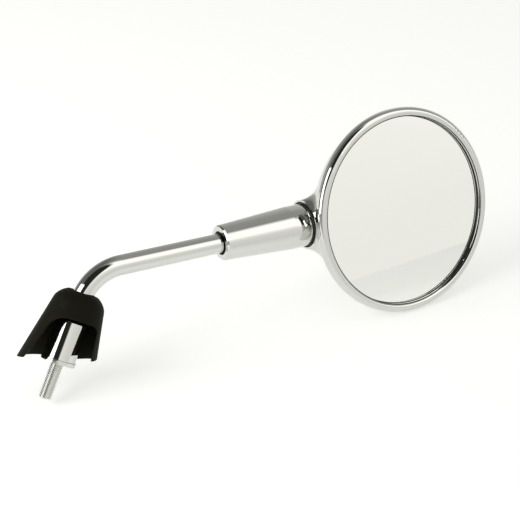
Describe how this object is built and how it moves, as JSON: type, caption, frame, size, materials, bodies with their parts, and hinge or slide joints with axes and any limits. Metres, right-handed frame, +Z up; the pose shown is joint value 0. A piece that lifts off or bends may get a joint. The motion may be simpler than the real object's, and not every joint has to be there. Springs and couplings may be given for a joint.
{
  "type": "scooter mirror",
  "caption": "Round scooter mirror: chrome head on a ball joint, bent chrome arm, rubber boot over a flanged M8 mounting stud.",
  "frame": {"origin": "on the stud's axis, at the underside of the flange, which seats on the handlebar boss", "axes": "+Z up the stem, away from the stud's tip; the arm bends towards +X; the glass faces -Y, towards the rider"},
  "size_m": [0.2745, 0.0496, 0.2522],
  "materials": {
    "chrome_stem": "polished chrome plate on steel",
    "chrome_arm": "polished chrome plate on steel tube",
    "chrome_ferrule": "polished chrome plate on a casting",
    "chrome_shell": "bright chrome plate on moulded plastic",
    "chrome_bezel": "polished chrome plate on rolled steel",
    "mirror": "silvered glass",
    "black_rubber": "matt",
    "boot_rubber": "satin moulded rubber",
    "zinc": "zinc plate",
    "steel": "plain",
    "nylon": "moulded",
    "foam": "foam"
  },
  "bodies": {
    "arm": {"mounting_stem": "chrome_stem", "arm_tube": "chrome_arm", "ferrule": "chrome_ferrule", "ferrule_bush": "nylon", "grub_screw": "steel", "arm_plug": "steel", "tie_bolt": "steel", "spring_seat": "steel", "disc_spring_1": "steel", "disc_spring_2": "steel", "disc_spring_3": "steel", "disc_spring_4": "steel", "lock_nut": "zinc"},
    "boot": {"rubber_boot": "boot_rubber"},
    "liner": {"ball_liner": "nylon"},
    "cup": {"thrust_cup": "steel"},
    "head": {"mirror_shell": "chrome_shell", "bezel_ring": "chrome_bezel", "glass_gasket": "black_rubber", "mirror_glass": "mirror", "foam_pad": "foam"}
  },
  "joints": [
    {"name": "boot_turn", "type": "hinge", "parent": "arm", "child": "boot", "pos_m": [0, 0, 0], "axis": [0, 0, 1], "continuous": true},
    {"name": "head_turn", "type": "hinge", "parent": "arm", "child": "liner", "pos_m": [0.12427, 0, 0.12835], "axis": [0.866, 0, 0.5], "range_deg": [-20, 20]},
    {"name": "head_pan", "type": "hinge", "parent": "liner", "child": "cup", "pos_m": [0.12427, 0, 0.12835], "axis": [0.5, 0, -0.866], "range_deg": [-10, 10]},
    {"name": "head_swing", "type": "hinge", "parent": "cup", "child": "head", "pos_m": [0.12427, 0, 0.12835], "axis": [0, 1, 0], "range_deg": [-10, 10]}
  ]
}
